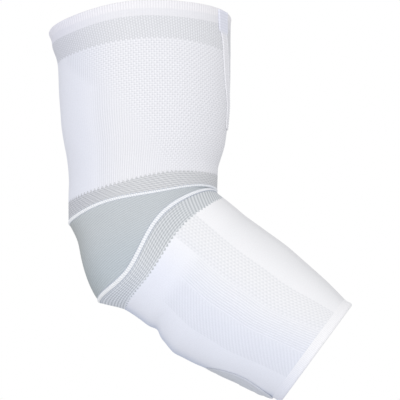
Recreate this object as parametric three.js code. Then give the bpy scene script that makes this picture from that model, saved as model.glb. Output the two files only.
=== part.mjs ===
import * as THREE from "three";

// Knitted elbow brace in the form that it has on a bent arm, in millimetres and degrees with +Z up. The
// upper arm opening looks up, and the forearm opening points forward (+X) and down. The origin is inside
// the elbow, on the middle plane.

// The bend between the two openings, and the lengths along the inside of the bend, from the crook to a rim.
const bend = 53;
const upperLength = 114.5;
const forearmLength = 108;

// Front to back width and side to side depth of the tube at five stations.
const topWidth = 115;
const topDepth = 88;
const neckWidth = 93;
const neckDepth = 73;
const elbowWidth = 96;
const elbowDepth = 77;
const forearmWidth = 92;
const forearmDepth = 72;
const endWidth = 72.5;
const endDepth = 58;

// Heights of the bands, measured on the front of the arm.
const upperCuffHeight = 8.5;
const upperBandHeight = 16;
const upperElbowBandHeight = 8;
const crookHeight = 2.4;
const lowerElbowBandHeight = 3.6;
const forearmCuffHeight = 6;

// The two stitched beads, measured on the back of the arm, and how far they stand proud.
const upperPipingHeight = 2.6;
const lowerPipingHeight = 4.4;
const pipingProud = 0.7;
const pipingFrontShare = 0.5;

// Cloth, and the gap between pieces that meet.
const wall = 2;
const clearance = 0.3;

// The tape down the front of the upper arm.
const seamWidth = 7;
const seamThickness = 0.8;
const seamLength = 75;
const seamTopAngle = 25;
const seamMiddleAngle = 16;

// The raised oval under the forearm.
const padLength = 44;
const padBreadth = 27;
const padThickness = 1.1;
const padFromEnd = 27;

const segmentsAround = 40;
const crook = new THREE.Vector2(0.427 * elbowWidth, 0.219 * elbowWidth);
const radians = THREE.MathUtils.degToRad;
const degrees = THREE.MathUtils.radToDeg;

// How far each edge of the front leans out, because both tubes narrow away from their wide ends.
const upperTaper = degrees(Math.atan((topWidth - neckWidth) / 2 / upperLength));
const forearmTaper = degrees(Math.atan((forearmWidth - endWidth) / 2 / forearmLength));

const top = { width: topWidth, depth: topDepth };
const neck = { width: neckWidth, depth: neckDepth };
const elbow = { width: elbowWidth, depth: elbowDepth };
const forearm = { width: forearmWidth, depth: forearmDepth };
const end = { width: endWidth, depth: endDepth };

// The degrees by which a bead fans open, from its narrow front to its full height on the back.
function beadFan(height, station) {
  return degrees((height * (1 - pipingFrontShare)) / station.width);
}

// Zones from the top rim down, with their height on the front and the degrees that they turn the tube.
const upperSleeveHeight =
  upperLength -
  upperCuffHeight -
  upperBandHeight -
  upperElbowBandHeight -
  upperPipingHeight * pipingFrontShare -
  crookHeight / 2;
const forearmSleeveHeight =
  forearmLength -
  crookHeight / 2 -
  lowerPipingHeight * pipingFrontShare -
  lowerElbowBandHeight -
  forearmCuffHeight;
const rimTurn = 0.08 * bend;
const zones = [
  { name: "upper_cuff", height: upperCuffHeight, turn: 0.005 * bend, steps: 2 },
  { name: "upper_band", height: upperBandHeight, turn: -0.015 * bend, steps: 2 },
  { name: "upper_sleeve", height: upperSleeveHeight, turn: 0.12 * bend, steps: 2 },
  { name: "upper_elbow_band", height: upperElbowBandHeight, turn: 0.045 * bend, steps: 2 },
  {
    name: "upper_piping",
    height: upperPipingHeight * pipingFrontShare,
    turn: beadFan(upperPipingHeight, neck),
    steps: 4,
    proud: pipingProud,
  },
  { name: "elbow_panel", height: crookHeight, turn: 0, steps: 2 },
  {
    name: "lower_piping",
    height: lowerPipingHeight * pipingFrontShare,
    turn: beadFan(lowerPipingHeight, elbow),
    steps: 4,
    proud: pipingProud,
  },
  { name: "lower_elbow_band", height: lowerElbowBandHeight, turn: 0.1 * bend, steps: 2 },
  { name: "forearm_sleeve", height: forearmSleeveHeight, turn: 0.105 * bend, steps: 4 },
  { name: "forearm_cuff", height: forearmCuffHeight, turn: 0, steps: 2 },
];
const panel = zones.find((zone) => zone.name === "elbow_panel");
panel.turn = bend - rimTurn - zones.reduce((sum, zone) => sum + zone.turn, 0);
const panelMiddle = panel.height + (radians(panel.turn) * elbowWidth) / 2;

// Sections from the top rim down. along and turn are shares of the section's zone, and width and depth are
// shares of its station. forward and tuck are shares of the station's width: the push out of the straight
// front, and the dent in it. bow is the rise of the section's sides towards the upper arm, as a share of the
// elbow panel's height at its middle, and skew moves that rise forward. A share that is left out is 0.
const sections = [
  { zone: 0, along: 0, turn: 0, at: top, width: 1, depth: 1, forward: -0.021 },
  { zone: 1, along: 0, turn: 0, at: top, width: 0.985, depth: 0.985, forward: -0.018 },
  { zone: 2, along: 0, turn: 0, at: top, width: 0.955, depth: 0.965, forward: -0.006 },
  { zone: 2, along: 0.23, turn: 0, at: top, width: 0.943, depth: 0.955, forward: 0.008 },
  { zone: 2, along: 0.47, turn: 0, at: top, width: 0.925, depth: 0.935, forward: 0.018 },
  { zone: 2, along: 0.72, turn: 0.05, at: neck, width: 1.085, depth: 1.07, forward: 0.017 },
  { zone: 2, along: 0.93, turn: 0.5, at: neck, width: 1.005, depth: 1, forward: -0.016 },
  { zone: 3, along: 0, turn: 0, at: neck, width: 1.01, depth: 1.005, forward: -0.014 },
  { zone: 4, along: 0, turn: 0, at: neck, width: 1.015, depth: 1.02, bow: 0.02 },
  { zone: 5, along: 0, turn: 0, at: neck, width: 1.01, depth: 1.025, bow: 0.03, tuck: 0.004 },
  { zone: 5, along: 0.33, turn: 0.22, at: elbow, width: 0.955, depth: 0.98, bow: 0.1, skew: 0.5, tuck: 0.02 },
  { zone: 5, along: 0.67, turn: 0.62, at: elbow, width: 1.002, depth: 1, bow: 0.22, skew: 0.8, tuck: 0.024 },
  { zone: 6, along: 0, turn: 0, at: elbow, width: 1.04, depth: 1, bow: 0.28, skew: 0.9, tuck: 0.02 },
  { zone: 7, along: 0, turn: 0, at: elbow, width: 1.03, depth: 1, bow: 0.28, skew: 0.9, tuck: 0.016 },
  { zone: 8, along: 0, turn: 0, at: forearm, width: 1, depth: 1.02, bow: 0.1, skew: 0.5, tuck: 0.006 },
  { zone: 8, along: 0.13, turn: 0.7, at: forearm, width: 0.98, depth: 1.005, bow: 0.03 },
  { zone: 8, along: 0.32, turn: 1.25, at: forearm, width: 1.01, depth: 1, forward: 0.017 },
  { zone: 8, along: 0.55, turn: 1.15, at: forearm, width: 0.985, depth: 0.97, forward: 0.036 },
  { zone: 8, along: 0.8, turn: 1, at: end, width: 1.13, depth: 1.13, forward: 0.045 },
  { zone: 9, along: 0, turn: 0, at: end, width: 1.02, depth: 1.03, forward: 0.034 },
  { zone: 9, along: 1, turn: 1, at: end, width: 1, depth: 1, forward: 0.036 },
];

// The same sections as sizes: distance down the front from the crook, angle of the section, and lengths.
const rows = sections.map((section) => {
  const before = zones.slice(0, section.zone);
  const zone = zones[section.zone];
  const width = section.at.width;
  return {
    zone: section.zone,
    front: before.reduce((sum, one) => sum + one.height, -upperLength) + section.along * zone.height,
    turn: before.reduce((sum, one) => sum + one.turn, rimTurn) + section.turn * zone.turn,
    width: section.width * width,
    depth: section.depth * section.at.depth,
    forward: (section.forward ?? 0) * width,
    bow: (section.bow ?? 0) * panelMiddle,
    skew: section.skew ?? 0,
    tuck: (section.tuck ?? 0) * width,
  };
});

// One column of the rows at a fractional row number, on a smooth curve that never overshoots its rows.
function column(name, place) {
  const last = rows.length - 1;
  const i = Math.min(Math.floor(place), last - 1);
  const f = place - i;
  const value = (k) => rows[k][name];
  const slope = (k) => {
    if (k === 0 || k === last) {
      return k === 0 ? value(1) - value(0) : value(last) - value(last - 1);
    }
    const [before, after] = [value(k) - value(k - 1), value(k + 1) - value(k)];
    return before * after > 0 ? (2 * before * after) / (before + after) : 0;
  };
  return (
    value(i) * (1 + 2 * f) * (1 - f) ** 2 +
    slope(i) * f * (1 - f) ** 2 +
    value(i + 1) * f * f * (3 - 2 * f) -
    slope(i + 1) * f * f * (1 - f)
  );
}

// A point on the brace: place is a row number, angle goes round from the front over the side that faces -Y,
// and lift is the height over the outer skin. tuckSpread is how far round the dent in the front reaches.
const tuckSpread = 24;
function skin(place, angle, lift) {
  const turn = radians(column("turn", place));
  const front = column("front", place);
  const lean = radians(front < 0 ? -upperTaper : bend - forearmTaper);
  const round = radians(angle);
  const fromFront = THREE.MathUtils.euclideanModulo(angle + 180, 360) - 180;
  const tuck = column("tuck", place) * Math.exp(-((fromFront / tuckSpread) ** 2));
  const half = column("width", place) / 2;
  const back = (half + lift) * Math.cos(round) - half + column("forward", place) - tuck;
  const skew = 1 + column("skew", place) * Math.cos(round);
  const rise = column("bow", place) * skew * Math.sin(round) ** 2;
  return new THREE.Vector3(
    crook.x + front * Math.sin(lean) + back * Math.cos(turn) - rise * Math.sin(turn),
    -(column("depth", place) / 2 + lift) * Math.sin(round),
    crook.y - front * Math.cos(lean) + back * Math.sin(turn) + rise * Math.cos(turn),
  );
}

// A closed mesh from its points and the corners of its triangles.
function solid(points, triangles) {
  const geometry = new THREE.BufferGeometry();
  const numbers = points.flatMap((point) => point.toArray());
  geometry.setAttribute("position", new THREE.Float32BufferAttribute(numbers, 3));
  geometry.setIndex(triangles);
  geometry.computeVertexNormals();
  return geometry;
}

// The two triangles between points i and i + 1 of two neighbouring rings.
function strip(a, b, i, count) {
  const j = (i + 1) % count;
  return [a + i, b + j, b + i, a + i, a + j, b + j];
}

// The row where a zone starts. The zone ends where the next one starts.
function startOf(zone) {
  return zone === zones.length ? rows.length - 1 : rows.findIndex((row) => row.zone === zone);
}

// A zone's tube: its outer skin down, then its inner skin up, as one loop of rings. Each end is drawn in
// by half of the clearance.
function tube(zone) {
  const first = startOf(zone);
  const steps = (startOf(zone + 1) - first) * zones[zone].steps;
  const proud = zones[zone].proud ?? 0;
  const places = Array.from({ length: steps + 1 }, (_, k) => first + k / zones[zone].steps);
  const drawnIn = (place, next, angle, lift) => {
    const point = skin(place, angle, lift);
    const way = skin(next, angle, lift).sub(point);
    return point.addScaledVector(way, clearance / 2 / way.length());
  };
  const ring = (k, liftAt) =>
    Array.from({ length: segmentsAround }, (_, i) => {
      const angle = (360 * i) / segmentsAround;
      const lift = liftAt(k);
      if (k === 0) {
        return drawnIn(places[0], places[1], angle, lift);
      }
      return k === steps ? drawnIn(places[k], places[k - 1], angle, lift) : skin(places[k], angle, lift);
    });
  const order = places.map((_, k) => k);
  const rings = [
    ...order.map((k) => ring(k, () => proud * Math.sin((Math.PI * k) / steps))),
    ...order.reverse().map((k) => ring(k, () => -wall)),
  ];
  const triangles = rings.flatMap((_, r) => {
    const next = (r + 1) % rings.length;
    return Array.from({ length: segmentsAround }, (_, i) =>
      strip(r * segmentsAround, next * segmentsAround, i, segmentsAround),
    ).flat();
  });
  return solid(rings.flat(), triangles);
}

// The row number that lies a distance down the front from the crook.
function placeOf(front) {
  let [low, high] = [0, rows.length - 1];
  for (let halving = 0; halving < 40; halving += 1) {
    const middle = (low + high) / 2;
    [low, high] = column("front", middle) < front ? [middle, high] : [low, middle];
  }
  return low;
}

// The front seam: a crowned tape that lies on the skin from the top rim down and drifts round towards the
// front in a long S. Each row of its profile, from the middle of its underside round, is a share of its half
// width and a share of its thickness.
function frontSeam() {
  const profile = [
    { across: 0, height: 0 },
    { across: -1, height: 0 },
    { across: -1, height: 0.6 },
    { across: -0.5, height: 1 },
    { across: 0.5, height: 1 },
    { across: 1, height: 0.6 },
    { across: 1, height: 0 },
  ];
  const steps = 18;
  const [first, last] = [placeOf(clearance - upperLength), placeOf(seamLength - upperLength)];
  const rings = Array.from({ length: steps + 1 }, (_, k) => {
    const share = k / steps;
    const place = first + (last - first) * share;
    const middle = seamMiddleAngle + (seamTopAngle - seamMiddleAngle) * (1 - 2 * share) ** 3;
    const perDegree = skin(place, middle, 0).distanceTo(skin(place, middle + 1, 0));
    return profile.map((point) => {
      const angle = middle + (point.across * seamWidth) / 2 / perDegree;
      return skin(place, angle, clearance + point.height * seamThickness);
    });
  });
  const count = profile.length;
  const sides = rings.slice(1).flatMap((_, r) =>
    profile.flatMap((_, i) => strip(r * count, (r + 1) * count, i, count)),
  );
  const cap = Array.from({ length: count - 2 }, (_, i) => [0, i + 1, i + 2]);
  const near = cap.flatMap(([a, b, c]) => [a, c, b]);
  const far = cap.flat().map((i) => i + steps * count);
  return solid(rings.flat(), [...sides, ...near, ...far]);
}

// The pad under the forearm: a raised oval with a groove between its rim and its middle. Each row of its
// profile is a share of its radius and a share of its thickness.
function forearmPad() {
  const profile = [
    { radius: 0.33, height: 0 },
    { radius: 0.67, height: 0 },
    { radius: 1, height: 0 },
    { radius: 1, height: 0.5 },
    { radius: 0.92, height: 1 },
    { radius: 0.76, height: 1 },
    { radius: 0.66, height: 0.6 },
    { radius: 0.5, height: 0.6 },
    { radius: 0.4, height: 1 },
    { radius: 0.2, height: 1 },
  ];
  const count = 28;
  const middle = placeOf(forearmLength - padFromEnd);
  const perDegree = skin(middle, 180, 0).distanceTo(skin(middle, 181, 0));
  const perPlace = skin(middle - 0.5, 180, 0).distanceTo(skin(middle + 0.5, 180, 0));
  const point = (radius, height, i) => {
    const round = (2 * Math.PI * i) / count;
    const place = middle + (radius * (padLength / 2) * Math.cos(round)) / perPlace;
    const angle = 180 - (radius * (padBreadth / 2) * Math.sin(round)) / perDegree;
    return skin(place, angle, clearance + height * padThickness);
  };
  const ring = (row) => Array.from({ length: count }, (_, i) => point(row.radius, row.height, i));
  const rings = profile.map(ring);
  const points = [...rings.flat(), point(0, 0, 0), point(0, 1, 0)];
  const sides = rings.slice(1).flatMap((_, r) =>
    Array.from({ length: count }, (_, i) => strip(r * count, (r + 1) * count, i, count)).flat(),
  );
  const lastRing = (rings.length - 1) * count;
  const ends = Array.from({ length: count }, (_, i) => {
    const j = (i + 1) % count;
    return [rings.length * count, j, i, rings.length * count + 1, lastRing + i, lastRing + j];
  }).flat();
  return solid(points, [...sides, ...ends]);
}

// A piece with its colour. Knitted cloth is matt, and the pad is a smoother moulded print.
function piece(name, geometry, colour, roughness = 0.92) {
  const material = new THREE.MeshStandardMaterial({ color: colour, roughness, metalness: 0 });
  const mesh = new THREE.Mesh(geometry, material);
  mesh.name = name;
  return mesh;
}

const colours = {
  upper_cuff: "#eaebf1",
  upper_band: "#d3d4da",
  upper_sleeve: "#e9eaef",
  upper_elbow_band: "#cfd1d5",
  upper_piping: "#eef0f4",
  elbow_panel: "#c1c7cc",
  lower_piping: "#eef0f4",
  lower_elbow_band: "#c6cacf",
  forearm_sleeve: "#e8eaf0",
  forearm_cuff: "#e6e8ee",
};

const brace = new THREE.Group();
zones.forEach((zone, index) => brace.add(piece(zone.name, tube(index), colours[zone.name])));
brace.add(piece("front_seam", frontSeam(), "#dcdce3"));
brace.add(piece("forearm_pad", forearmPad(), "#b4bbc6", 0.6));

export default brace;
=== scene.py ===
import math

import bpy
import numpy as np
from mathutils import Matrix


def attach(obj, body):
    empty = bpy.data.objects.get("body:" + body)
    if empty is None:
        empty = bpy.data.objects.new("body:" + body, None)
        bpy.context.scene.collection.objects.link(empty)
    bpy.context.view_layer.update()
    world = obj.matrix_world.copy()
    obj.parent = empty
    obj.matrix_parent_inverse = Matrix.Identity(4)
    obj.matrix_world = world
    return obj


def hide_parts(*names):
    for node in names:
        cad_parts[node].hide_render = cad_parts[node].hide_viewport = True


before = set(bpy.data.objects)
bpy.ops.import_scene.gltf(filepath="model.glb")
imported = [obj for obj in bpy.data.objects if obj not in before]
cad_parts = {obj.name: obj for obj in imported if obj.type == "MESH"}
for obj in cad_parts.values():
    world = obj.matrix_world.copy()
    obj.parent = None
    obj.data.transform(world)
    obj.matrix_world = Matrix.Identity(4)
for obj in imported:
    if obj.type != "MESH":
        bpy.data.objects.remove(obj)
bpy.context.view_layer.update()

# Upper cuff: the pale rim round the upper arm, a plain rib of nylon and elastane yarn that is turned in and
# knitted to itself, so it ends in a soft round edge. The brace is one knitted tube that starts here, so this
# section also holds the form of that tube and the way its yarn is drawn.

# The bend in degrees, the lengths on the inside of the bend, and the tube's width and depth, in mm.
BEND = 53
UPPER_LENGTH, FOREARM_LENGTH = 114.5, 108
TOP, NECK, ELBOW, FOREARM, END = (115, 88), (93, 73), (96, 77), (92, 72), (72.5, 58)
CROOK = np.array([0.427 * ELBOW[0], 0.219 * ELBOW[0]])
UPPER_TAPER = math.atan((TOP[0] - NECK[0]) / 2 / UPPER_LENGTH)
FOREARM_TAPER = math.atan((FOREARM[0] - END[0]) / 2 / FOREARM_LENGTH)

# The bands' heights on the front, and the share of a bead's height on the back that it has on the front.
CUFF, BAND, ELBOW_BAND, PANEL_FRONT, LOWER_BAND, END_CUFF = 8.5, 16, 8, 2.4, 3.6, 6
BEAD, LOWER_BEAD, BEAD_FRONT = 2.6, 4.2, 0.5

# The cloth's thickness and the step between the rows of vertices on its plain inner side, in mm, and how
# far the tuck in the crook reaches from the front, in degrees.
CLOTH, INNER_STEP, TUCK_REACH = 1.8, 6, 24


def fan(height, width):
    """The degrees by which a bead opens from its narrow front to its full height on the back."""
    return math.degrees(height * (1 - BEAD_FRONT) / width)


# The zones from the top rim down: the height on the front, and the degrees that each turns the tube.
RIM_TURN = 0.08 * BEND
zones = [
    [CUFF, 0.005 * BEND],
    [BAND, -0.015 * BEND],
    [UPPER_LENGTH - CUFF - BAND - ELBOW_BAND - BEAD * BEAD_FRONT - PANEL_FRONT / 2, 0.12 * BEND],
    [ELBOW_BAND, 0.045 * BEND],
    [BEAD * BEAD_FRONT, fan(BEAD, NECK[0])],
    [PANEL_FRONT, 0],
    [LOWER_BEAD * BEAD_FRONT, fan(LOWER_BEAD, ELBOW[0])],
    [LOWER_BAND, 0.1 * BEND],
    [FOREARM_LENGTH - PANEL_FRONT / 2 - LOWER_BEAD * BEAD_FRONT - LOWER_BAND - END_CUFF, 0.105 * BEND],
    [END_CUFF, 0],
]
zones[5][1] = BEND - RIM_TURN - sum(turn for _, turn in zones)

# Sections from the top rim down: the zone, the shares of its height and turn, the size that the section has
# shares of as width and depth, and the shares of the width that its front is pushed out and dented in.
sections = [
    (0, 0, 0, TOP, 1, 1, -0.021, 0),
    (1, 0, 0, TOP, 0.985, 0.985, -0.018, 0),
    (2, 0, 0, TOP, 0.949, 0.965, -0.006, 0),
    (2, 0.23, 0, TOP, 0.938, 0.955, 0.008, 0),
    (2, 0.47, 0, TOP, 0.918, 0.935, 0.018, 0),
    (2, 0.72, 0.05, NECK, 1.075, 1.07, 0.017, 0),
    (2, 0.93, 0.5, NECK, 1.005, 1, -0.016, 0),
    (3, 0, 0, NECK, 1.01, 1.005, -0.014, 0),
    (4, 0, 0, NECK, 1.01, 1.02, -0.01, 0),
    (5, 0, 0, NECK, 1, 1.025, -0.012, 0.006),
    (5, 0.33, 0.22, ELBOW, 0.95, 0.98, -0.008, 0.022),
    (5, 0.67, 0.62, ELBOW, 0.985, 1, -0.006, 0.028),
    (6, 0, 0, ELBOW, 1.025, 1, 0, 0.02),
    (7, 0, 0, ELBOW, 1.03, 1, 0, 0.014),
    (8, 0, 0, FOREARM, 1, 1.02, 0, 0.006),
    (8, 0.13, 0.7, FOREARM, 0.98, 1.005, 0, 0),
    (8, 0.32, 1.25, FOREARM, 1.01, 1, 0.017, 0),
    (8, 0.55, 1.15, FOREARM, 0.985, 0.97, 0.036, 0),
    (8, 0.8, 1, END, 1.13, 1.13, 0.045, 0),
    (9, 0, 0, END, 1.02, 1.03, 0.03, 0),
    (9, 1, 1, END, 1, 1, 0.026, 0),
]
form = {
    "front": [sum(z[0] for z in zones[:s[0]]) - UPPER_LENGTH + s[1] * zones[s[0]][0] for s in sections],
    "turn": [sum(z[1] for z in zones[:s[0]]) + RIM_TURN + s[2] * zones[s[0]][1] for s in sections],
    "width": [s[4] * s[3][0] for s in sections],
    "depth": [s[5] * s[3][1] for s in sections],
    "forward": [s[6] * s[3][0] for s in sections],
    "tuck": [s[7] * s[3][0] for s in sections],
}

# How far the yarn lines run off their flat sections, in mm towards the upper arm, at every 30 degrees from
# the front of the arm to its back. The lower bead runs in a long S round the point of the elbow.
lines = {
    0: (-0.5, -0.3, 0, 0.9, -0.6, -2, -1.9),
    1: (-1.5, -2, -1.8, -0.4, -1.8, -3, -2),
    2: (-2.5, -2.8, -0.6, 0.5, -0.6, -1.4, -0.5),
    4: (0, 0, 0, 0, 0, 0, 0),
    6: (0, 0, 0, 0, 0, -0.5, -0.5),
    7: (0, -0.5, 0.6, -0.1, -1.3, -1.5, -1),
    8: (-0.6, 0.2, 0, 0.1, 1.2, -0.2, -0.5),
    9: (-0.6, 0.2, 0, 0.1, 1.2, -0.2, -0.5),
    12: (2.6, 5.3, 8.9, 7, -1.8, -1.6, -0.6),
    13: (2.6, 5.3, 8.9, 7, -1.7, -1, 0.5),
    14: (1.2, 1.5, 3.6, 3, -0.8, -0.5, -1),
    16: (0, 0, 0, 0, 0, 0, 0),
    20: (0, 0, 0, 0, 0, 0, 0),
}
ORDERS = np.arange(7)
at_angles = np.cos(np.outer(np.radians(30 * ORDERS), ORDERS))
waves = np.linalg.solve(at_angles, np.array(list(lines.values())).T).T

# Soft dents and swellings of the worn cloth: the place as a section number, the angle from the front, the
# reach along and around in mm, how far the mark leans, and its height. MM_TURN is the mm to a degree round.
MM_TURN = math.radians(45)
dents = [
    (15.2, 180, 3.5, 26, 0, -2),
    (15.9, 180, 5, 30, 0, 0.9),
    (10.2, 128, 2, 16, 0.25, -0.35),
    (12.1, 124, 1.6, 6, 0.2, -0.7),
    (11.6, 180, 7, 22, 0, 1.3),
    (5.6, 160, 12, 14, 0.2, -0.5),
    (4.2, 60, 22, 12, 0, 0.4),
    (16.6, 40, 18, 9, 0, -0.5),
    (17.4, 180, 20, 14, 0, -0.8),
    (17.15, 180, 8, 16, 0, -1.3),
    (18.5, 180, 7, 14, 0, 0.9),
    (0.1, 172, 3, 30, 0, 0.5),
    (19.8, 8, 2.5, 20, 0, 0.5),
]


def smooth(knots, values, at):
    """A smooth curve through the values at the knots, which never overshoots them."""
    knots, values = np.array(knots, float), np.array(values, float)
    gaps = np.diff(knots)
    rates = np.diff(values) / gaps
    slopes = np.concatenate([rates[:1], np.zeros(len(gaps) - 1), rates[-1:]])
    same = rates[:-1] * rates[1:] > 0
    slopes[1:-1][same] = 2 * rates[:-1][same] * rates[1:][same] / (rates[:-1][same] + rates[1:][same])
    i = np.clip(np.searchsorted(knots, at, side="right") - 1, 0, len(gaps) - 1)
    f = (at - knots[i]) / gaps[i]
    first = values[i] * (1 + 2 * f) + slopes[i] * gaps[i] * f
    last = values[i + 1] * (3 - 2 * f) - slopes[i + 1] * gaps[i] * (1 - f)
    return first * (1 - f) ** 2 + last * f ** 2


def column(name, place):
    """One measure of the form at a place, which counts the sections from the top rim down."""
    return smooth(np.arange(len(sections)), form[name], place)


def bare_skin(place, angle, lift):
    """A point on the tube without its dents, in mm."""
    place, angle, lift = np.broadcast_arrays(np.asarray(place, float), np.asarray(angle, float), lift)
    turn, front = np.radians(column("turn", place)), column("front", place)
    lean = np.where(front < 0, -UPPER_TAPER, math.radians(BEND) - FOREARM_TAPER)
    round_arm = np.radians(angle)
    from_front = (angle + 180) % 360 - 180
    half = column("width", place) / 2
    back = (half + lift) * np.cos(round_arm) - half + column("forward", place)
    back = back - column("tuck", place) * np.exp(-((from_front / TUCK_REACH) ** 2))
    rise = sum(smooth(list(lines), waves[:, k], place) * np.cos(k * round_arm) for k in ORDERS)
    x = CROOK[0] + front * np.sin(lean) + back * np.cos(turn) - rise * np.sin(turn)
    y = -(column("depth", place) / 2 + lift) * np.sin(round_arm)
    z = CROOK[1] - front * np.cos(lean) + back * np.sin(turn) + rise * np.cos(turn)
    return np.stack([x, y, z], axis=-1)


# The length of the near side from the top rim to each of many places, and the angle of each share of the
# way round, because the wales of the knit stand evenly round the oval tube.
places = np.linspace(0, len(sections) - 1, 801)
steps = np.linalg.norm(np.diff(bare_skin(places, 90, 0), axis=0), axis=1)
lengths = np.concatenate([[0], np.cumsum(steps)])
angles = np.linspace(0, 360, 721)
oval = np.stack([TOP[0] * np.cos(np.radians(angles)), TOP[1] * np.sin(np.radians(angles))], axis=-1)
arcs = np.concatenate([[0], np.cumsum(np.linalg.norm(np.diff(oval, axis=0), axis=1))])


def skin(place, angle, lift):
    """A point on the worn tube, in mm, with the dents and swellings of its cloth."""
    for at, middle, along, around, lean, height in dents:
        down = np.interp(place, places, lengths) - np.interp(at, places, lengths)
        for side in (1, -1):
            across = ((angle * side - middle + 180) % 360 - 180) * MM_TURN
            gone = ((down + lean * across) / along) ** 2 + (across / around) ** 2
            lift = lift + (height if side == 1 or 0 < middle < 180 else 0) * np.exp(-gone)
    return bare_skin(place, angle, lift)


# The tube has 192 wales, lengthwise ribs of stitches 1.67 mm apart at the top. The patterns are knitted in
# pairs of wales, so where two zones meet the line between them has one rounded tooth for each pair.
WALES = 192
WALE = 1.668
AROUND = WALES * WALE
share = np.linspace(0, 1, 4 * WALES + 1)
angle_of = np.interp(share, arcs / arcs[-1], angles)
knit_round = share * AROUND
tooth = -np.cos(np.pi * knit_round / WALE) / 2

# The heights of the teeth on the upper arm, on the forearm and at the upper bead, and the mm over which they
# fade out.
TOOTH, LOW_TOOTH, BEAD_TOOTH, TOOTH_FADE = 1.5, 1.2, 0.6, 3


def moved(place, distance):
    """The places that lie a distance in mm further down the tube."""
    return np.interp(np.interp(place, places, lengths) + distance, lengths, places)


def loft(name, rings, around, down, loop=True):
    """A closed skin over rings of points in mm, each of which repeats its first point at its end.

    The last ring joins the first one in a loop, and otherwise both end rings are filled. The map "knit"
    holds the mm around and down.
    """
    count = rings.shape[1] - 1
    row = np.arange(len(rings) - (0 if loop else 1))[:, None]
    after = (row + 1) % len(rings)
    i = np.arange(count)[None, :]
    corners = [(row, i), (row, i + 1), (after, i + 1), (after, i)]
    faces = np.stack([r * count + c % count for r, c in corners], axis=-1).reshape(-1, 4).tolist()
    knit = np.stack([np.stack([around[r, c], down[r, c]], axis=-1) for r, c in corners], axis=2)
    knit = knit.reshape(-1, 2)
    if not loop:
        last = len(rings) - 1
        caps = [(0, c) for c in reversed(range(count))] + [(last, c) for c in range(count)]
        vertices = [r * count + c for r, c in caps]
        faces += [vertices[:count], vertices[count:]]
        knit = np.concatenate([knit, [(around[r, c], down[r, c]) for r, c in caps]])
    mesh = bpy.data.meshes.new(name)
    mesh.from_pydata((rings[:, :-1].reshape(-1, 3) / 1000).tolist(), [], faces)
    mesh.uv_layers.new(name="knit").uv.foreach_set("vector", knit.reshape(-1).astype(np.float32))
    mesh.shade_smooth()
    mesh.set_sharp_from_angle(angle=math.radians(50))
    piece = bpy.data.objects.new(name, mesh)
    bpy.context.scene.collection.objects.link(piece)
    return piece


def turned_edge(place, angle, ahead):
    """The rings that turn the cloth over at an end, from outside to inside, and their mm ahead."""
    swing = np.radians([24, 48, 72, 96, 120, 144, 165])[:, None]
    one_mm = skin(place, angle, 0) - skin(moved(place, -ahead), angle, 0)
    spread = np.sin(swing) * CLOTH / 2
    edge = skin(place, angle, (np.cos(swing) - 1) * CLOTH / 2) + one_mm * spread[..., None]
    return edge, ahead * spread


def knitted_tube(
    name, first, last, step, relief, teeth=(0, 0), rims=(False, False), twist=None, exact=False,
):
    """One zone of the tube, from row first to row last, with rows of vertices each step mm.

    relief gives the lift of the outer side from the mm around and down. teeth are the heights of the teeth
    at the two ends, and a rim is a rounded end. twist moves the wales round, and exact measures the courses
    from the upper end along the cloth.
    """
    top, low = np.interp([first, last], places, lengths) + CLOTH / 2 * np.array([rims[0], -rims[1]])
    count = max(3, round((low - top) / step))
    from_top = np.linspace(0, low - top, count + 1)[:, None]
    reach = min(TOOTH_FADE, low - top)
    from_ends = (from_top, low - top - from_top)
    shift = sum(high * tooth * np.clip(1 - gone / reach, 0, 1) ** 2 for high, gone in zip(teeth, from_ends))
    place = moved(np.interp(top + from_top, lengths, places), shift)
    angle = np.broadcast_to(angle_of, place.shape)
    down = np.interp(place, places, lengths) - top
    if exact:
        gaps = np.linalg.norm(np.diff(bare_skin(place, angle, 0), axis=0), axis=2)
        down = np.concatenate([np.zeros((1, len(share))), np.cumsum(gaps, axis=0)])
    around = np.broadcast_to(knit_round, place.shape)
    if twist is not None:
        around = around + twist(from_top / (low - top), angle)
    keep = np.linspace(count, 0, max(3, round((low - top) / INNER_STEP)) + 1).round().astype(int)
    parts = [
        (skin(place, angle, relief(around, down)), around, down),
        (skin(place[keep], angle[keep], -CLOTH), around[keep], down[keep]),
    ]
    if rims[0]:
        edge, spread = turned_edge(place[0], angle[0], -1)
        parts.append((edge[::-1], np.broadcast_to(around[0], edge.shape[:2]), (down[0] + spread)[::-1]))
    if rims[1]:
        edge, spread = turned_edge(place[-1], angle[-1], 1)
        parts.insert(1, (edge, np.broadcast_to(around[-1], edge.shape[:2]), down[-1] + spread))
    return loft(name, *(np.concatenate([part[k] for part in parts]) for k in range(3)))


def add(tree, kind, inputs, **settings):
    """A node with its settings and inputs, each a value, a node's first output or an output."""
    node = tree.nodes.new("ShaderNode" + kind)
    for name, value in settings.items():
        setattr(node, name, value)
    for name, value in inputs.items():
        source = value.outputs[0] if isinstance(value, bpy.types.Node) else value
        if isinstance(source, bpy.types.NodeSocket):
            tree.links.new(source, node.inputs[name])
        else:
            node.inputs[name].default_value = source
    return node


def colour(hex_code):
    """A linear colour from its sRGB hex code."""
    parts = [int(hex_code[i:i + 2], 16) / 255 for i in (1, 3, 5)]
    return (*[p / 12.92 if p <= 0.04045 else ((p + 0.055) / 1.055) ** 2.4 for p in parts], 1)


def crest(tree, along, period):
    """A wave over a distance in mm, from -1 to 1, with a crest at 0 and one more each period."""
    phase = add(tree, "Math", {0: along, 1: 2 * math.pi / period}, operation="MULTIPLY")
    return add(tree, "Math", {0: phase}, operation="COSINE")


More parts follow.
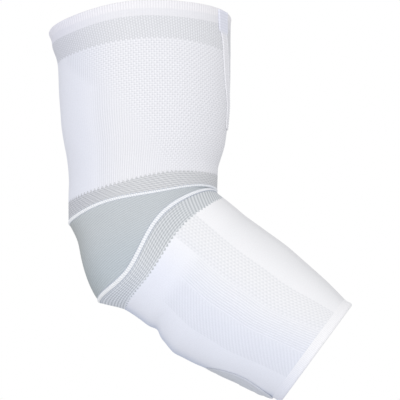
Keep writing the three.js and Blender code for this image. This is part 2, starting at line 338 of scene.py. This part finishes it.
def lattice(tree, around, down, wide, high, fine=(0, 0)):
    """Staggered spots from 0 to 1, each wide and high in mm, crossed by fine lines of two strengths."""
    across, along = crest(tree, around, 2 * wide), crest(tree, down, 2 * high)
    spots = add(tree, "Math", {0: across, 1: along}, operation="MULTIPLY")
    for way, size, strength in ((around, wide, fine[0]), (down, high, fine[1])):
        between = add(tree, "Math", {0: way, 1: size / 4}, operation="ADD")
        line = crest(tree, between, size)
        spots = add(tree, "Math", {0: line, 1: strength, 2: spots}, operation="MULTIPLY_ADD")
    reach = 0.9 + 0.65 * sum(fine)
    return add(tree, "MapRange", {0: spots, 1: -reach, 2: reach})


# A range with this setting rises softly from its low end to its high end.
SOFTLY = {"interpolation_type": "SMOOTHSTEP"}


def knit(name, pattern, valley, top, tints=(), depth=0.12):
    """A matt knitted cloth of soft nylon yarn, whose loops scatter the light and leave no gloss.

    pattern gives the height of its yarn from 0 to 1, depth is that height in mm, and tints are colours with
    the masks of where they are laid on. The valley colour is partly the yarn's own pattern and partly painted
    shade in the hollows between the loops, and many tints are painted shade.
    """
    material = bpy.data.materials.new(name)
    material.use_nodes = True
    tree = material.node_tree
    shader = tree.nodes["Principled BSDF"]
    shader.inputs["Roughness"].default_value = 0.85
    shader.inputs["IOR"].default_value = 1.53
    shader.inputs["Specular IOR Level"].default_value = 0.2
    shader.inputs["Sheen Weight"].default_value = 0.1
    shader.inputs["Sheen Roughness"].default_value = 0.4
    mapped = add(tree, "UVMap", {}, uv_map="knit")
    parts = add(tree, "SeparateXYZ", {0: mapped})
    around, down = parts.outputs[0], parts.outputs[1]
    from_back = add(tree, "Math", {0: around, 1: AROUND / 2}, operation="SUBTRACT")
    from_back = add(tree, "Math", {0: from_back}, operation="ABSOLUTE")
    height = pattern(tree, around, down, from_back)
    # The valley colour is partly the yarn's pattern and partly painted shade in the hollows between the
    # loops.
    tone = add(tree, "Mix", {0: height, 6: colour(valley), 7: colour(top)}, data_type="RGBA")
    multiply = {"data_type": "RGBA", "blend_type": "MULTIPLY"}
    # Many tints are painted shade, cooler and darker where the cloth turns away from the lights.
    for hex_code, mask in tints:
        strength = mask(tree, around, down, from_back)
        tone = add(tree, "Mix", {0: strength, 6: tone.outputs[2], 7: colour(hex_code)}, **multiply)
    fuzz = add(tree, "TexNoise", {"Vector": mapped, "Scale": 1.1, "Detail": 3})
    cloud = add(tree, "MapRange", {0: fuzz.outputs[0], 1: 0.3, 2: 0.7, 3: 0.97, 4: 1.015})
    tone = add(tree, "Mix", {0: 1, 6: tone.outputs[2], 7: cloud}, **multiply)
    tree.links.new(tone.outputs[2], shader.inputs["Base Color"])
    loops = add(tree, "Math", {0: crest(tree, around, WALE), 1: 0.1, 2: height}, operation="MULTIPLY_ADD")
    bump = add(tree, "Bump", {"Height": loops, "Strength": 0.7, "Distance": depth / 1000})
    tree.links.new(bump.outputs[0], shader.inputs["Normal"])
    return material


def dress(piece, material, node=None):
    """Give a piece its material and its place on the body."""
    piece.data.materials.append(material)
    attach(piece, "root")
    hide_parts(node or piece.name.removesuffix("_knit"))


def cut_flat(first, last):
    """Work out the width that a zone would have if knitted flat. The result is not used."""
    wide = column("width", (first + last) / 2) * 1.39 * 2


def ribs(tree, around, down, from_back):
    """Fine ribs, one to a wale."""
    return add(tree, "MapRange", {0: crest(tree, around, WALE), 1: -1, 2: 1})


def folded_rib(tree, around, down, from_back):
    """The ribs, which are clear over the turned-in edge and faint below it."""
    clear = ribs(tree, around, down, from_back)
    faint = add(tree, "Mix", {0: 0.7, 2: clear, 3: 0.5})
    below = add(tree, "MapRange", {0: down, 1: 3.4, 2: 5}, **SOFTLY)
    return add(tree, "Mix", {0: below, 2: clear, 3: faint})


def below_fold(tree, around, down, from_back):
    """The mask of the single cloth below the turned-in edge, a little darker than the roll, which is partly
    painted light.
    """
    return add(tree, "MapRange", {0: down, 1: 3.8, 2: 5}, **SOFTLY)


def cuff_relief(around, down):
    """The roll of the rim, and the shallow line where its turned-in edge ends."""
    return 0.2 * np.exp(-((down / 1.4) ** 2)) - 0.12 * np.exp(-(((down - 4.6) / 0.5) ** 2))


def shade_over_back(low_end, high_end):
    """A mask of painted shade, full on the back's middle line and fading out between two distances from it,
    in mm.
    """
    # The back turns away from the front light, so the tints laid on with this mask are painted shade.
    def mask(tree, around, down, from_back):
        return add(tree, "MapRange", {0: from_back, 1: low_end, 2: high_end, 3: 1, 4: 0}, **SOFTLY)
    return mask


def toward_front(low_end, high_end):
    """A mask that fades in between two distances from the back's middle line, in mm."""
    def mask(tree, around, down, from_back):
        return add(tree, "MapRange", {0: from_back, 1: low_end, 2: high_end}, **SOFTLY)
    return mask


cuff = knitted_tube("upper_cuff_knit", 0, 1, 0.6, cuff_relief, rims=(True, False))
# f4f5fc on the back is painted cool shade. #f8f9fa below the fold marks the single cloth and is partly
# painted light on the roll above.
cuff_tints = [("#f4f5fc", shade_over_back(20, 75)), ("#f8f9fa", below_fold)]
cuff_rib = knit("ribbed nylon knit, pale", folded_rib, "#eae9ed", "#f8f7fa", cuff_tints, 0.09)
dress(cuff, cuff_rib)
cut_flat(0, 1)

# Upper band: grey knit under the cuff, of the same yarn with a grey thread laid in, which shows as fine
# wales with staggered dots between them.
DOT_HEIGHT = 0.87


def dotted(tree, around, down, from_back):
    """The dots, with the wales over them."""
    dots = lattice(tree, around, down, WALE, DOT_HEIGHT)
    return add(tree, "Mix", {0: 0.5, 2: dots, 3: ribs(tree, around, down, from_back)})


def dotted_relief(around, down):
    dots = np.cos(np.pi * around / WALE) * np.cos(np.pi * down / DOT_HEIGHT)
    return 0.05 * np.cos(2 * np.pi * around / WALE) + 0.05 * dots


band = knitted_tube("upper_band_knit", 1, 2, 0.43, dotted_relief, teeth=(0, TOOTH))
# f0f1f7 on the back is painted cool shade.
band_knit = knit("dotted knit, grey thread", dotted, "#d0d1d5", "#eeeff3", [("#f0f1f7", shade_over_back(20, 75))])
dress(band, band_knit)
cut_flat(1, 2)

# Upper sleeve: the white tube round the upper arm, a compression knit whose near side is a small staggered
# mesh. Low on the outside it runs out into plain fine ribs, and the back is plain.
HOLE_HEIGHT = 1.41


def sleeve_mesh(tree, around, down, from_back):
    """The mesh, which is drawn into slanted lines near the front, with the ribs and the plain back."""
    holes = lattice(tree, around, down, WALE, HOLE_HEIGHT, fine=(0.9, 0.9))
    slope = add(tree, "Math", {0: down, 1: WALE / HOLE_HEIGHT, 2: from_back}, operation="MULTIPLY_ADD")
    diagonal = add(tree, "MapRange", {0: crest(tree, slope, 2 * WALE), 1: -1, 2: 1})
    drawn = add(tree, "MapRange", {0: from_back, 1: 90, 2: 116, 4: 0.2}, **SOFTLY)
    mixed = add(tree, "Mix", {0: drawn, 2: holes, 3: diagonal})
    lower = add(tree, "Math", {0: down, 1: 0.8, 2: 50}, operation="MULTIPLY_ADD")
    lower = add(tree, "Math", {0: lower, 1: from_back}, operation="SUBTRACT")
    ribbed = add(tree, "MapRange", {0: crest(tree, around, WALE), 1: -1, 2: 1, 3: 0.25, 4: 0.75})
    low_part = add(tree, "MapRange", {0: lower, 1: 2, 2: 26}, **SOFTLY)
    mixed = add(tree, "Mix", {0: low_part, 2: mixed, 3: ribbed})
    spread = add(tree, "MapRange", {0: down, 1: 4, 2: 26, 3: 24, 4: 0})
    spread = add(tree, "Math", {0: from_back, 1: spread}, operation="ADD")
    meshed = add(tree, "MapRange", {0: spread, 1: 42, 2: 52}, **SOFTLY)
    plain = add(tree, "Mix", {0: 0.85, 2: ribbed, 3: 0.7})
    return add(tree, "Mix", {0: meshed, 2: plain, 3: mixed})


def flat_relief(around, down):
    """Smooth cloth, whose knit is too shallow to lift its outer side."""
    return 0 * around


sleeve = knitted_tube("upper_sleeve_knit", 2, 7, 0.95, flat_relief, teeth=(TOOTH, TOOTH))
# f6f8fe on the back is painted cool shade.
sleeve_tints = [("#f6f8fe", shade_over_back(30, 70))]
sleeve_cloth = knit("mesh compression knit, white", sleeve_mesh, "#dadbe0", "#f7f7fb", sleeve_tints)
dress(sleeve, sleeve_cloth)
cut_flat(2, 7)

# Upper elbow band: grey ribbed knit above the elbow, firmer than the sleeve. Its courses are crossed by
# short slanted strokes of the grey thread.
COURSE, STROKE, STROKE_LEAN = 1.3, 2.75, 0.7


def slanted(tree, around, down, from_back):
    """The courses and the strokes."""
    across = add(tree, "Math", {0: from_back, 1: -STROKE_LEAN, 2: down}, operation="MULTIPLY_ADD")
    strokes = crest(tree, across, STROKE)
    mixed = add(tree, "Math", {0: strokes, 1: 0.45, 2: crest(tree, down, COURSE)}, operation="MULTIPLY_ADD")
    return add(tree, "MapRange", {0: mixed, 1: -1.5, 2: 1.5})


def slanted_relief(around, down):
    from_back = np.abs(around - AROUND / 2)
    strokes = np.cos(2 * np.pi * (down - STROKE_LEAN * from_back) / STROKE)
    return 0.03 * strokes + 0.06 * np.cos(2 * np.pi * down / COURSE)


elbow_band = knitted_tube("upper_elbow_band_knit", 7, 8, 0.33, slanted_relief, teeth=(TOOTH, BEAD_TOOTH))
# eff0f5 on the back is painted cool shade.
elbow_tints = [("#eff0f5", shade_over_back(20, 75))]
band_cloth = knit("slanted elastic knit, grey", slanted, "#bcbec2", "#e4e5e7", elbow_tints, 0.2)
dress(elbow_band, band_cloth)
cut_flat(7, 8)

# Pipings: the two pale beads over the edges of the elbow panel, overlocked in thick soft yarn, so each is a
# row of slanted stitches, one to a wale. The lower bead is the thicker one.
STITCH_LEAN = 0.5


def overlock(tree, around, down, from_back):
    """The slanted stitches, with narrow gaps between them."""
    across = add(tree, "Math", {0: down, 1: STITCH_LEAN, 2: around}, operation="MULTIPLY_ADD")
    return add(tree, "MapRange", {0: crest(tree, across, WALE), 1: -1, 2: 0.4}, **SOFTLY)


def shaded_edges(high, reach):
    """A mask of painted shade along both edges of a bead, in the crevices beside it, growing over the last
    reach mm of its height.
    """
    def mask(tree, around, down, from_back):
        off = add(tree, "Math", {0: down, 1: high / 2}, operation="SUBTRACT")
        off = add(tree, "Math", {0: off}, operation="ABSOLUTE")
        return add(tree, "MapRange", {0: off, 1: high / 2 - reach, 2: high / 2}, **SOFTLY)
    return mask


for name, first, last, proud, high_tooth, shaded in (
    ("upper_piping_knit", 8, 9, 0.5, BEAD_TOOTH, 0.3),
    ("lower_piping_knit", 12, 13, 0.8, 0, 0.7),
):
    high = np.interp(last, places, lengths) - np.interp(first, places, lengths)

    def bead(around, down, high=high, proud=proud):
        arch = np.sin(np.pi * np.clip(down / high, 0, 1)) ** 0.7
        return arch * (proud - 0.12 * (1 - np.cos(2 * np.pi * (around + STITCH_LEAN * down) / WALE)))

    piping = knitted_tube(name, first, last, 0.22, bead, teeth=(high_tooth, 0))
    label = "overlock stitching, pale yarn, " + name.removesuffix("_knit").replace("_", " ")
    # b9c0cc is painted shade along the bead's edges, where it meets the cloth beside it.
    yarn = knit(label, overlock, "#e6e9ef", "#f8fafd", [("#b9c0cc", shaded_edges(high, shaded))], 0.15)
    dress(piping, yarn)

# Elbow panel: smooth grey stretch knit over the point of the elbow. Its fine courses run along the upper
# bead, and it narrows to a thin fold in the crook of the arm.


def courses(tree, around, down, from_back):
    """The fine courses, crossed by the steeper lines of the wales."""
    leaning = add(tree, "Math", {0: from_back, 1: 0.21, 2: down}, operation="MULTIPLY_ADD")
    crossing = add(tree, "Math", {0: down, 1: -0.96, 2: from_back}, operation="MULTIPLY_ADD")
    line, cross_line = crest(tree, leaning, 1.35), crest(tree, crossing, 1.72)
    mixed = add(tree, "Math", {0: cross_line, 1: 0.6, 2: line}, operation="MULTIPLY_ADD")
    return add(tree, "MapRange", {0: mixed, 1: -1.5, 2: 1.5})


def lower_half(tree, around, down, from_back):
    """A mask that grows toward the lower bead."""
    return add(tree, "MapRange", {0: down, 1: 8, 2: 42}, **SOFTLY)


panel = knitted_tube("elbow_panel_knit", 9, 12, 0.7, flat_relief, exact=True)
# e6e6e4 on the back is painted shade at the edge that turns from the lights.
panel_tints = [("#f8fcff", lower_half), ("#e6e6e4", shade_over_back(0, 36))]
panel_cloth = knit("fine stretch knit, grey", courses, "#b9bfc3", "#cdd2d6", panel_tints, 0.12)
dress(panel, panel_cloth)
cut_flat(9, 12)

# Lower elbow band: grey knit below the elbow with rows of narrow slits along it, which turn into plain ribs
# near the crook.
SLIT_ROW, SLIT_COLUMN, COLUMN_LEAN = 1.46, 2.9, 0.6
CROOK_START, CROOK_FADE = 98, 16


def slits(tree, around, down, from_back):
    """The rows of slits, and the columns that are left alone near the crook."""
    leaning = add(tree, "Math", {0: down, 1: COLUMN_LEAN, 2: from_back}, operation="MULTIPLY_ADD")
    columns = crest(tree, leaning, SLIT_COLUMN)
    rows = crest(tree, down, SLIT_ROW)
    marks = add(tree, "Math", {0: columns, 1: 0.42, 2: rows}, operation="MULTIPLY_ADD")
    near_crook = {0: from_back, 1: CROOK_START, 2: CROOK_START + CROOK_FADE}
    mixed = add(tree, "Mix", {0: add(tree, "MapRange", near_crook, **SOFTLY), 2: marks, 3: columns})
    return add(tree, "MapRange", {0: mixed, 1: -1.6, 2: 1.6})


def slit_relief(around, down):
    from_back = np.abs(around - AROUND / 2)
    rows = np.cos(2 * np.pi * down / SLIT_ROW)
    columns = np.cos(2 * np.pi * (from_back + COLUMN_LEAN * down) / SLIT_COLUMN)
    near_crook = np.clip((from_back - CROOK_START) / CROOK_FADE, 0, 1)
    return 0.06 * ((1 - near_crook) * rows + (0.4 + 0.3 * near_crook) * columns - 1.4)


lower_band = knitted_tube("lower_elbow_band_knit", 13, 14, 0.37, slit_relief, teeth=(0, LOW_TOOTH))
# f6f9ff on the back is painted cool shade.
lower_tints = [("#f0f1f1", toward_front(30, 85)), ("#f6f9ff", shade_over_back(20, 75))]
lower_cloth = knit("narrow slit knit, grey", slits, "#bbbfc4", "#f6f8fb", lower_tints, 0.2)
dress(lower_band, lower_cloth)
cut_flat(13, 14)

# Forearm sleeve: the white tube round the forearm, knitted in lengthwise strips: plain along the top, an
# open honeycomb, raised ribs, a finer twill, and plain again underneath. Near the wrist the ribs swing
# round, and under the lower elbow band the strips fade in.
RIDGE = 1.12 * WALE
PLAIN_TOP, PLAIN_FADE = 12, 12


def strips(tree, around, down, from_back):
    """The strips from the top of the forearm to its underside."""
    def strip(low, high):
        rise = add(tree, "MapRange", {0: from_back, 1: low - 1, 2: low + 1}, **SOFTLY)
        fall = add(tree, "MapRange", {0: from_back, 1: high - 1, 2: high + 1}, **SOFTLY)
        return add(tree, "Math", {0: rise, 1: fall}, operation="SUBTRACT")

    cells = lattice(tree, around, down, 1.37 * WALE, 1.27, fine=(0.7, 0))
    honeycomb = add(tree, "MapRange", {0: cells, 4: 0.74})
    slope = add(tree, "Math", {0: down, 1: 1.69, 2: from_back}, operation="MULTIPLY_ADD")
    twill = add(tree, "MapRange", {0: crest(tree, slope, 3.85), 1: -1, 2: 1, 3: 0.28, 4: 0.58})
    ridges = add(tree, "MapRange", {0: crest(tree, around, RIDGE), 1: -1, 2: 1, 3: 0.15, 4: 0.85})
    formed = add(tree, "MapRange", {0: down, 1: PLAIN_TOP, 2: PLAIN_TOP + PLAIN_FADE}, **SOFTLY)
    ridges = add(tree, "Mix", {0: formed, 2: 0.8, 3: ridges})
    twill = add(tree, "Mix", {0: formed, 2: 0.8, 3: twill})
    plain = add(tree, "MapRange", {0: formed, 3: 0.8, 4: 0.7})
    mixed = add(tree, "Mix", {0: strip(84, 108), 2: plain, 3: honeycomb})
    mixed = add(tree, "Mix", {0: strip(62, 83), 2: mixed, 3: ridges})
    return add(tree, "Mix", {0: strip(39, 62), 2: mixed, 3: twill})


def rib_relief(around, down):
    from_back = np.abs(around - AROUND / 2)
    ribbed = np.clip((from_back - 61) / 2, 0, 1) * np.clip((84 - from_back) / 2, 0, 1)
    formed = np.clip((down - PLAIN_TOP) / PLAIN_FADE, 0, 1)
    return 0.06 * formed * ribbed * np.cos(2 * np.pi * around / RIDGE)


def swing(down_share, angle):
    """The mm by which the wales are moved, where the ribs swing forward over the last third."""
    side = np.where(angle < 180, 1, -1)
    from_front = np.minimum(angle, 360 - angle)
    late = np.clip((down_share - 0.6) / 0.4, 0, 1) ** 2
    return side * late * np.clip(12 - 0.2 * (from_front - 65), 0, 12) * np.clip(from_front / 65, 0, 1)


forearm = knitted_tube("forearm_sleeve_knit", 14, 19, 1.1, rib_relief, teeth=(LOW_TOOTH, 0), twist=swing)
# f3f6ff is painted cool shade on the lower half, and #e2e7f1 painted shade along the underside edge.
forearm_tints = [
    ("#f3f6ff", shade_over_back(50, 100)), ("#e2e7f1", shade_over_back(0, 18)), ("#f4f4f4", toward_front(112, 150)),
]
forearm_cloth = knit("striped compression knit, white", strips, "#e6e7ea", "#fafafc", forearm_tints)
dress(forearm, forearm_cloth)
cut_flat(14, 19)

# Forearm cuff: the plain rim at the wrist side, knitted like the upper cuff and turned in to a thin edge.


def end_relief(around, down):
    return 0.12 * np.exp(-(((down - 5) / 1.2) ** 2))


end_cuff = knitted_tube("forearm_cuff_knit", 19, 20, 0.6, end_relief, rims=(False, True))
# f2f5ff on the back is painted cool shade.
end_rib = knit("ribbed nylon knit, white", ribs, "#f3f3f5", "#fafafc", [("#f2f5ff", shade_over_back(20, 90))], 0.06)
dress(end_cuff, end_rib)
cut_flat(19, 20)

# Front seam: a flat pale tape with a raised line of stitches along each edge, sewn over the join in the
# knit down the front of the upper arm. Its top end is folded over under the rim, so it is wider and thicker
# there. FRONT_DEGREE is the mm that a degree spans on the front.
SEAM_LENGTH, SEAM_WIDTH, FOLD_WIDTH, FOLD_LENGTH, STITCH = 75, 7, 10, 13, 1.6
FRONT_DEGREE = 0.74
seam_down = np.linspace(0.9, SEAM_LENGTH, 140)[:, None]
seam_place = np.interp(seam_down, column("front", places) + UPPER_LENGTH, places)
seam_across = np.linspace(-0.5, 0.5, 41)
folded = np.clip((FOLD_LENGTH - seam_down) / 1.2 + 0.5, 0, 1)
seam_angle = smooth([0, 10, 22, 34, 48, 64, 75], [25, 24, 20.5, 19.4, 16.2, 10, 7], seam_down)
seam_angle = seam_angle + seam_across * (SEAM_WIDTH + (FOLD_WIDTH - SEAM_WIDTH) * folded) / FRONT_DEGREE
stitched = 0.3 * np.exp(-(((np.abs(seam_across) - 0.4) / 0.06) ** 2))
stitched = stitched * (1 - 0.4 * np.cos(2 * np.pi * seam_down / STITCH))
bevel = 0.3 * np.clip((np.abs(seam_across) - 0.46) / 0.04, 0, 1)
outer = skin(seam_place, seam_angle, 0.5 + 0.15 * folded + stitched - bevel)
inner = skin(seam_place, seam_angle, 0.12)
seam_rings = np.concatenate([outer, inner[:, ::-1], outer[:, :1]], axis=1)
across_mm = np.concatenate([seam_across, seam_across[::-1], seam_across[:1]]) * SEAM_WIDTH
seam_around = np.broadcast_to(across_mm, seam_rings.shape[:2])
seam_along = np.broadcast_to(seam_down, seam_rings.shape[:2])
seam = loft("front_seam_tape", seam_rings, seam_around, seam_along, loop=False)


def woven(tree, around, down, from_back):
    """The weft of the tape, one thick thread to a stitch."""
    return add(tree, "MapRange", {0: crest(tree, down, STITCH), 1: -1, 2: 1})


def fold_mask(tree, around, down, from_back):
    """The mask of the folded top end."""
    return add(tree, "MapRange", {0: down, 1: FOLD_LENGTH - 1, 2: FOLD_LENGTH + 2, 3: 1, 4: 0})


tape = knit("woven seam tape, pale", woven, "#ebebf0", "#f4f4f8", [("#f6f8ff", fold_mask)], 0.08)
dress(seam, tape, "front_seam")

# Forearm pad: a raised oval of soft grey silicone, printed on the underside of the forearm so that the
# brace doesn't slip. It has a rim, a groove and a raised middle, and it is wider toward the elbow and
# thicker toward the wrist.
PAD_LENGTH, PAD_WIDTH, PAD_FROM_END, PAD_HEIGHT = 44, 27, 27, 1

# The pad's outline from the middle of its underside over its edge to the middle of its top: the share of its
# radius and of its height.
pad_outline = [
    (0.06, 0), (0.3, 0), (0.6, 0), (0.85, 0), (0.98, 0), (1, 0.2), (1, 0.5), (0.97, 0.8), (0.93, 1),
    (0.88, 1), (0.84, 0.75), (0.8, 0.6), (0.76, 0.75), (0.71, 0.95), (0.65, 1), (0.58, 0.85), (0.53, 0.65),
    (0.48, 0.75), (0.4, 0.95), (0.3, 1), (0.18, 1), (0.06, 1),
]
pad_share, pad_high = np.array(pad_outline).T[..., None]
pad_place = np.interp(FOREARM_LENGTH - PAD_FROM_END, column("front", places), places)
per_degree = np.linalg.norm(bare_skin(pad_place, 180, 0) - bare_skin(pad_place, 181, 0))
turn_round = np.linspace(0, 2 * np.pi, 97)
pad_along = pad_share * PAD_LENGTH / 2 * np.cos(turn_round)
pad_across = pad_share * PAD_WIDTH / 2 * np.sin(turn_round) * (1 - 0.28 * np.cos(turn_round))
pad_swell = PAD_HEIGHT * (0.7 + 0.5 * np.cos(turn_round))
pad_rings = skin(moved(pad_place, pad_along), 180 - pad_across / per_degree, 0.15 + pad_high * pad_swell)
pad = loft("forearm_pad_print", pad_rings, pad_across, pad_along, loop=False)

# Silicone rubber is smooth and a little glossy, and fine dust dulls it in clouds.
silicone = bpy.data.materials.new("printed silicone, grey")
silicone.use_nodes = True
tree = silicone.node_tree
shader = tree.nodes["Principled BSDF"]
shader.inputs["Roughness"].default_value = 0.55
shader.inputs["IOR"].default_value = 1.41
dust = add(tree, "TexNoise", {"Vector": add(tree, "UVMap", {}, uv_map="knit"), "Scale": 0.7, "Detail": 3.0})
tone = add(tree, "Mix", {0: dust.outputs[0], 6: colour("#c7ccd8"), 7: colour("#d9dde6")}, data_type="RGBA")
tree.links.new(tone.outputs[2], shader.inputs["Base Color"])
dress(pad, silicone, "forearm_pad")

# Studio: a plain pale floor well below the brace, which is held up as an arm holds it, a white surround,
# and three broad soft lights: a neutral one in front, and cooler ones low on the left and on the right.
FLOOR_REACH, FLOOR_HEIGHT = 15, -0.5
corners = [(x * FLOOR_REACH, y * FLOOR_REACH, FLOOR_HEIGHT) for x, y in ((-1, -1), (1, -1), (1, 1), (-1, 1))]
floor_mesh = bpy.data.meshes.new("floor")
floor_mesh.from_pydata(corners, [], [(0, 1, 2, 3)])
floor = bpy.data.objects.new("floor", floor_mesh)
bpy.context.scene.collection.objects.link(floor)
paper = bpy.data.materials.new("white paper")
paper.use_nodes = True
tree = paper.node_tree
grain = add(tree, "TexNoise", {"Scale": 40.0, "Detail": 4.0})
tone = add(tree, "Mix", {0: grain.outputs[0], 6: colour("#ebebeb"), 7: colour("#f0f0f0")}, data_type="RGBA")
tree.links.new(tone.outputs[2], tree.nodes["Principled BSDF"].inputs["Base Color"])
tree.nodes["Principled BSDF"].inputs["Roughness"].default_value = 0.9
floor_mesh.materials.append(paper)

world = bpy.data.worlds.new("white surround")
bpy.context.scene.world = world
world.use_nodes = True
tree = world.node_tree
seen = add(tree, "LightPath", {})
back = tree.nodes["Background"]
level = add(tree, "MapRange", {0: seen.outputs["Is Camera Ray"], 3: 0.7, 4: 1.0})
back.inputs[0].default_value = (1, 1, 1, 1)
tree.links.new(level.outputs[0], back.inputs[1])

# The point that the lights and the camera face, in m. Each light is a square.
aim = np.array([0.0298, 0, 0.0165])
for name, at, size, watts, hex_code in (
    ("front light", (-0.35, -1.8, 0.4), 1.6, 11.3, "#fffefc"),
    ("low left light", (-1.3, -1.2, -0.5), 1.4, 4, "#dfe6ff"),
    ("right light", (1.5, -1.35, 0), 1.4, 4.2, "#f0f2ff"),
):
    lamp = bpy.data.lights.new(name, "AREA")
    lamp.shape, lamp.size, lamp.energy, lamp.color = "SQUARE", size, watts, colour(hex_code)[:3]
    light = bpy.data.objects.new(name, lamp)
    bpy.context.scene.collection.objects.link(light)
    way = np.array(at) - aim
    light.location = at
    light.rotation_euler = (
        math.atan2(math.hypot(way[0], way[1]), way[2]), 0, math.atan2(way[1], way[0]) + math.pi / 2)

# The camera looks a little up at the brace, as in the photograph, from 0.9 m with a long lens.
PHOTO_PIXEL, DISTANCE, LOOK_UP = 0.00062, 0.9, math.radians(12)
camera = bpy.data.cameras.new("camera")
camera.sensor_width = 36
camera.lens = camera.sensor_width * DISTANCE / (PHOTO_PIXEL * 400)
eye = bpy.data.objects.new("camera", camera)
bpy.context.scene.collection.objects.link(eye)
eye.location = aim + DISTANCE * np.array([0, -math.cos(LOOK_UP), -math.sin(LOOK_UP)])
eye.rotation_euler = (math.radians(90) + LOOK_UP, 0, 0)
bpy.context.scene.camera = eye
bpy.context.scene.view_settings.view_transform = "Standard"
